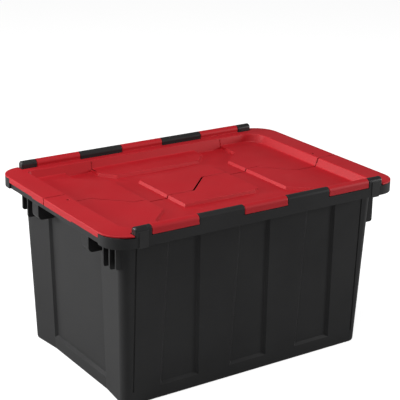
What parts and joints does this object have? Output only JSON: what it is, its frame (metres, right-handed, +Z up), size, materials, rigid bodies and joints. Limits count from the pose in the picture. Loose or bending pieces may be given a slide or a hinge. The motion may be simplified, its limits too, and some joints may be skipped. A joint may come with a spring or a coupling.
{
  "type": "attached lid tote",
  "caption": "Fluted tub with two interlocking recessed lid halves, hinged on its long sides by steel rods, for storage, picking and stacking.",
  "frame": {"origin": "centre of the base, at the level of the floor it stands on", "axes": "+X along the length, +Y across it towards the far hinge, +Z up"},
  "size_m": [0.562, 0.3956, 0.318],
  "materials": {
    "tub_plastic": "fine moulded texture, black polyethylene",
    "lid_plastic": "satin moulded texture, red polyethylene",
    "clip_plastic": "satin moulded black",
    "rod_steel": "bright zinc plated wire"
  },
  "bodies": {
    "tub_body": {"tub": "tub_plastic", "near_hinge_rod": "rod_steel", "far_hinge_rod": "rod_steel", "near_left_clip": "clip_plastic", "near_right_clip": "clip_plastic", "far_left_clip": "clip_plastic", "far_right_clip": "clip_plastic"},
    "near_lid": {"near_lid": "lid_plastic"},
    "far_lid": {"far_lid": "lid_plastic"}
  },
  "joints": [
    {"name": "near_lid_hinge", "type": "hinge", "parent": "tub_body", "child": "near_lid", "pos_m": [0, -0.19, 0.311], "axis": [1, 0, 0], "range_deg": [0, 246]},
    {"name": "far_lid_hinge", "type": "hinge", "parent": "tub_body", "child": "far_lid", "pos_m": [0, 0.19, 0.311], "axis": [-1, 0, 0], "range_deg": [0, 246]}
  ]
}
